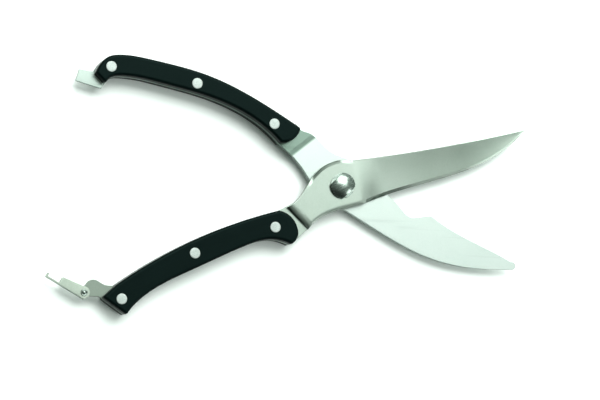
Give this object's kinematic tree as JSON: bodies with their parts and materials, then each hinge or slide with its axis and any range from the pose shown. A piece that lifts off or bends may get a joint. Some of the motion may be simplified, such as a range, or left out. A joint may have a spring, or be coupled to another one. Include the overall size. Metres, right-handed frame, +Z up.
{
  "type": "poultry shears",
  "caption": "Spring-opened poultry shears: a pointed blade and a notched blade on a domed pivot, riveted black grips and a folded latch that hooks the handles shut.",
  "frame": {"origin": "pivot axis where it meets the surface that the shears lie on", "axes": "+X along the middle of the open blades towards the tips, +Y towards the back half's handle, +Z up along the pivot bolt to its head"},
  "size_m": [0.2591, 0.1326, 0.0141],
  "materials": {
    "blade_steel": "fine ground",
    "pivot_steel": "polished",
    "spring_steel": "drawn wire",
    "rivet_steel": "blasted",
    "latch_steel": "satin",
    "latch_rivet_steel": "polished",
    "black_pom": "moulded, low sheen"
  },
  "bodies": {
    "back_half": {"back_blade": "blade_steel", "back_scale_upper": "black_pom", "back_scale_lower": "black_pom", "pivot_bolt": "pivot_steel", "pivot_washer": "pivot_steel", "pivot_nut": "pivot_steel", "pivot_spring": "spring_steel", "back_rivet_1_sleeve": "rivet_steel", "back_rivet_1_stud": "rivet_steel", "back_rivet_2_sleeve": "rivet_steel", "back_rivet_2_stud": "rivet_steel", "back_rivet_3_sleeve": "rivet_steel", "back_rivet_3_stud": "rivet_steel"},
    "front_half": {"front_blade": "blade_steel", "front_scale_upper": "black_pom", "front_scale_lower": "black_pom", "latch_rivet": "latch_rivet_steel", "front_rivet_1_sleeve": "rivet_steel", "front_rivet_1_stud": "rivet_steel", "front_rivet_2_sleeve": "rivet_steel", "front_rivet_2_stud": "rivet_steel", "front_rivet_3_sleeve": "rivet_steel", "front_rivet_3_stud": "rivet_steel"},
    "latch": {"latch_hook": "latch_steel"}
  },
  "joints": [
    {"name": "blade_pivot", "type": "hinge", "parent": "back_half", "child": "front_half", "pos_m": [0, 0, 0.0065], "axis": [0, 0, 1], "range_deg": [-39, 0], "stiffness_Nm_per_rad": 0.25, "springref_deg": 57.3, "deforming": ["pivot_spring"]},
    {"name": "latch_swing", "type": "hinge", "parent": "front_half", "child": "latch", "pos_m": [-0.13576, -0.05799, 0.0065], "axis": [0, 0, 1], "range_deg": [-38, 15]}
  ]
}
